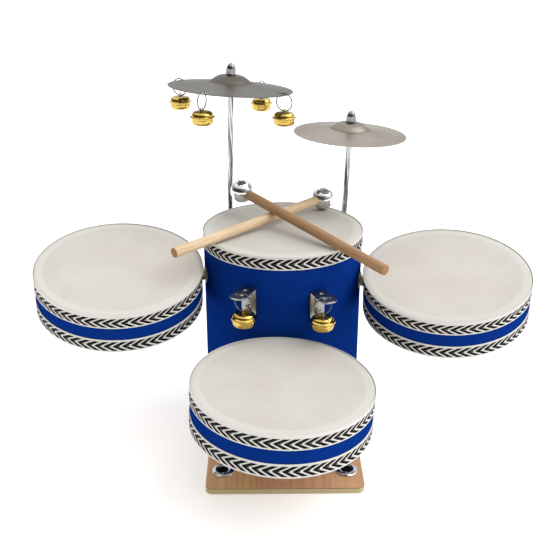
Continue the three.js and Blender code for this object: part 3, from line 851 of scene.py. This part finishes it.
def stand(side, size):
    spin = joints[f"{side}_cymbal_spin"]
    pivot, axis = Vector(spin["pos_m"]), Vector(spin["axis"])
    where = basis(pivot, (1, 0, 0), axis)
    stand_for(f"{side}_felt_washer", turned([(3.7, 0), (7.5, 0), (7.5, 3), (3.7, 3)], 48, 0.6), where)
    plane = where @ Matrix.Translation((0, 0, 4.3 - dish_height(0, size)))
    dome_edge = DOME_SHARE * size
    radii = [3.9, 6, CROWN, *np.linspace(CROWN, dome_edge, 10)[1:], *np.linspace(dome_edge, size, 16)[1:]]
    top = [(r, dish_height(r, size)) for r in radii]
    under = [(r, h - PLATE) for r, h in reversed(top)]
    plate = to_object(turned(top + under, STEPS), f"{side}_cymbal_shape")
    if side == "left":
        back = plane.inverted()
        for number in (1, 2, 3, 4):
            at = back @ middle(f"cymbal_jingle_{number}_ring")
            hole = Vector((at.x, at.y)).normalized() * (size - RIM_HOLE_INSET)
            boolean(plate, [rod_tool(hole.x, hole.y, RIM_HOLE, -6, 9)])
    # The left cymbal takes the darker copy of the metal, painted shade.
    finish = "cymbal_painted_shade" if side == "left" else "cymbal_metal"
    refinish(stand_for(f"{side}_cymbal", plate, plane), finish)
    rod_axis = spread_axis(f"{side}_stand_rod", longest=True)
    start = Vector(corners(f"{side}_stand_rod").mean(0))
    upright = basis(start, (1, 0, 0), rod_axis)
    low, high = reach(f"{side}_stand_rod", start, rod_axis)
    rod = turned([(0, low), (2.5, low), (3, low + 0.6), (3, high - 0.6), (2.5, high), (0, high)], 40)
    refinish(stand_for(f"{side}_stand_rod", rod, upright), "rod_painted_reflection")
    rest = (pivot - start).dot(rod_axis) * 1000
    place(nut(f"{side}_support_nut", 4.0, 3.05, rest - 4.7), upright, "polished_chrome", "kit_frame")
    shelf = (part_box(f"stand_bracket_{side}")[1].z - start.z) / rod_axis.z * 1000
    place(nut(f"{side}_upper_nut", 4.5, 3.05, shelf + 0.4), upright, "zinc_steel", "kit_frame")
    place(nut(f"{side}_lower_nut", 4.5, 3.05, shelf - 6.6), upright, "zinc_steel", "kit_frame")
    low, high = reach(f"{side}_acorn_nut", start, rod_axis)
    cap = nut(f"{side}_acorn_shape", 5.2, 0, low)
    arc = [(4.6 * cos(a), low + 5.0 + (high - low - 5.0) * sin(a)) for a in np.linspace(0, pi / 2, 10)[:-1]]
    dome = [(0, low + 4), *arc, (0, high)]
    boolean(cap, [turned(dome, 48)], "UNION")
    cap = boolean(cap, [rod_tool(0, 0, 3.1, low - 2, low + 6)])
    refinish(stand_for(f"{side}_acorn_nut", cap, upright), "cap_nut")
    print(side, "cymbal", 2 * size, "mm across")


for side, size in CYMBALS.items():
    stand(side, size)

# %% [markdown]
# ## Mallets
# Each mallet is a dowel glued into a drilled steel ball. The ball is an arc spun round the stick, so
# its hole comes with it, and the stick's cut end has a small chamfer.

# %% Mallets
BALL, STICK = 12.0, 5.0
for name in ("lower", "upper"):
    ball, stick = f"{name}_mallet_ball", f"{name}_mallet_stick"
    away = middle(stick) - middle(ball)
    axis = spread_axis(stick, longest=True, towards=away)
    line = Vector(corners(stick).mean(0))
    pole = reach(ball, line, axis)[0]
    centre = line + axis * ((pole + BALL) / 1000)
    where = basis(centre, UP, axis)
    mouth = asin((STICK + 0.15) / BALL)
    arc = [(BALL * sin(a), BALL * cos(a)) for a in np.linspace(mouth, pi, 40)[:-1]]
    arc.append((0, -BALL))
    floor_at = BALL * cos(mouth) - 6
    stand_for(ball, turned([(0, floor_at), (STICK + 0.15, floor_at)] + arc, 72), where)
    near, far = reach(stick, centre, axis)
    body = [(0, near), (STICK, near), (STICK, (near + far) / 2), (STICK, far - 0.8),
            (STICK - 0.2, far - 0.3), (STICK - 0.8, far), (0, far)]
    # The upper stick takes the darker copy of the wood, painted shade.
    wood = "mallet_wood" if name == "lower" else "dowel_painted_shade"
    refinish(stand_for(stick, turned(body, 40), where), wood)
print(len(made_pieces), "pieces made")

# %% [markdown]
# ## Studio
# A white table that glows a little, like a lit one, so that it stays pale right to its far edge. Two
# very soft suns, one from the right and one from straight above, lay the shadows to the left.

# %% Floor
floor_mesh = bmesh.new()
bmesh.ops.create_grid(floor_mesh, x_segments=1, y_segments=1, size=20)
floor = to_object(floor_mesh, "studio_floor")
paper = bpy.data.materials.new("studio_paper")
paper.use_nodes = True
surface = {"Base Color": (0.94, 0.935, 0.925, 1), "Roughness": 0.9,
           "Emission Color": (1.0, 0.99, 0.97, 1), "Emission Strength": 0.34}
for socket, value in surface.items():
    paper.node_tree.nodes["Principled BSDF"].inputs[socket].default_value = value
floor.data.materials.append(paper)
print("floor glows at", surface["Emission Strength"])

# %% Sky
BRIGHT_WAY = Vector((0.5, 0.62, 0.6))
SKY_STRENGTH = 0.8
SKY_RAMP = ((0.3, (0.10, 0.08, 0.065, 1)), (0.72, (0.95, 0.96, 0.98, 1)))
world = bpy.data.worlds.new("studio")
world.use_nodes = True
bpy.context.scene.world = world
nodes, links = world.node_tree.nodes, world.node_tree.links
sky = nodes["Background"]
where_to = nodes.new("ShaderNodeTexCoord")
bright_way = nodes.new("ShaderNodeVectorMath")
bright_way.operation = "DOT_PRODUCT"
bright_way.inputs[1].default_value = BRIGHT_WAY.normalized()
links.new(where_to.outputs["Generated"], bright_way.inputs[0])
half = nodes.new("ShaderNodeMapRange")
half.inputs[1].default_value = -1
links.new(bright_way.outputs["Value"], half.inputs[0])
ramp = nodes.new("ShaderNodeValToRGB")
for stop, (position, colour) in zip(ramp.color_ramp.elements, SKY_RAMP):
    stop.position, stop.color = position, colour
links.new(half.outputs[0], ramp.inputs[0])
links.new(ramp.outputs[0], sky.inputs["Color"])
sky.inputs["Strength"].default_value = SKY_STRENGTH
print("sky at", SKY_STRENGTH)

# %% Suns


def sun(name, towards, spread, power):
    """A soft light from a direction. spread is its width in degrees."""
    light = bpy.data.lights.new(name, "SUN")
    light.angle, light.energy = radians(spread), power
    made = bpy.data.objects.new(name, light)
    made.rotation_euler = (-Vector(towards)).to_track_quat("-Z", "Y").to_euler()
    bpy.context.scene.collection.objects.link(made)


sun("key", (0.85, -0.1, 0.9), 60, 1.65)
sun("top", (0.0, 0.15, 1.0), 120, 1.45)
print("suns: 2")

# %% Camera
LENS, SENSOR = 54.94, 36
EYE = (-0.01701, -0.79682, 0.49944)
LOOK_DOWN, LOOK_RIGHT = 23.26, 0.66
camera = bpy.data.objects.new("camera", bpy.data.cameras.new("camera"))
camera.data.sensor_width = SENSOR
camera.data.lens = LENS
camera.location = EYE
camera.rotation_euler = (radians(90 - LOOK_DOWN), 0, radians(-LOOK_RIGHT))
bpy.context.scene.collection.objects.link(camera)
bpy.context.scene.camera = camera
bpy.context.scene.view_settings.view_transform = "Standard"
print("camera at", EYE)
